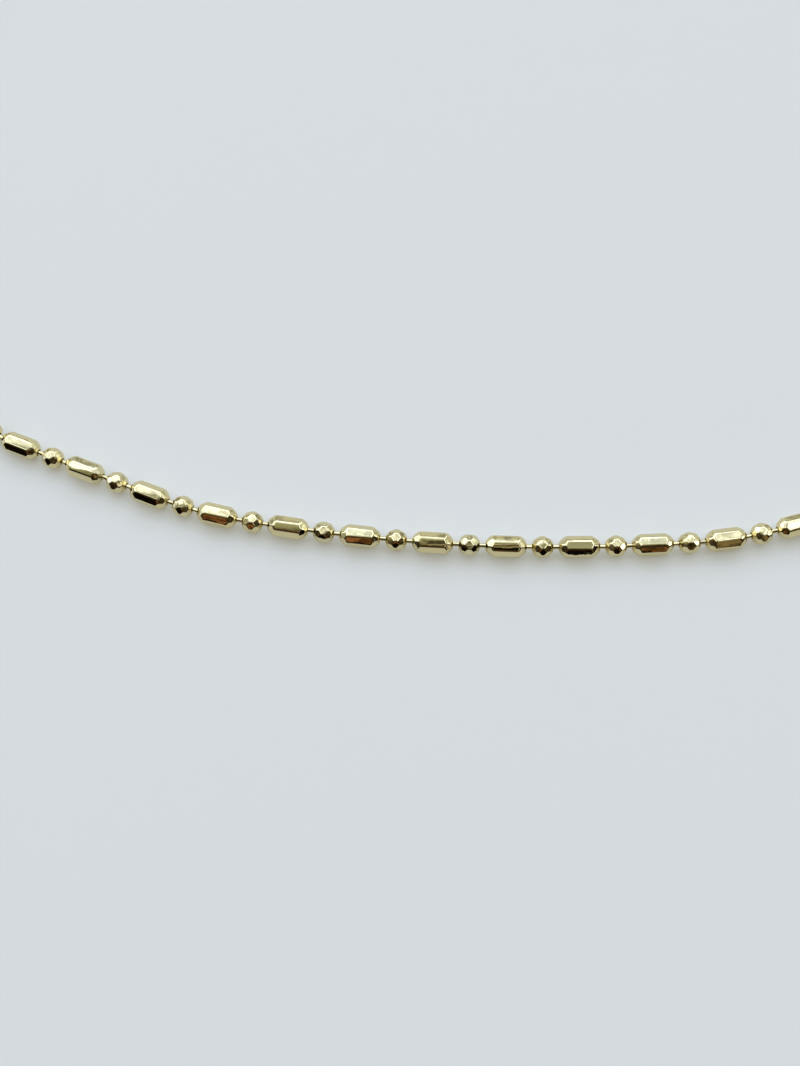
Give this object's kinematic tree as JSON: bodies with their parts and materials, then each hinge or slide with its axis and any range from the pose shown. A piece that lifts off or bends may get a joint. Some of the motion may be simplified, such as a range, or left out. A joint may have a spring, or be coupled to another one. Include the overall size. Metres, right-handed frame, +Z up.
{
  "type": "bar and ball chain necklace",
  "caption": "Necklace chain of hollow faceted oblong and round beads in turn on short wire links, closed to one loop by a plain barrel and laid on a flat surface.",
  "frame": {"origin": "middle of the loop's box, on the surface that the chain rests on", "axes": "+Z up from the surface, +X to the right along the loop's longest way across, +Y from the front of the loop to its barrel at the back"},
  "size_m": [0.1686, 0.1524, 0.0034],
  "materials": {
    "bead_gold": "diamond cut and mirror polished pale yellow gold",
    "wire_gold": "bright drawn pale yellow gold wire",
    "barrel_gold": "polished pale yellow gold"
  },
  "bodies": {
    "root": {"beads": "bead_gold", "links": "wire_gold", "connector": "barrel_gold"}
  },
  "joints": []
}
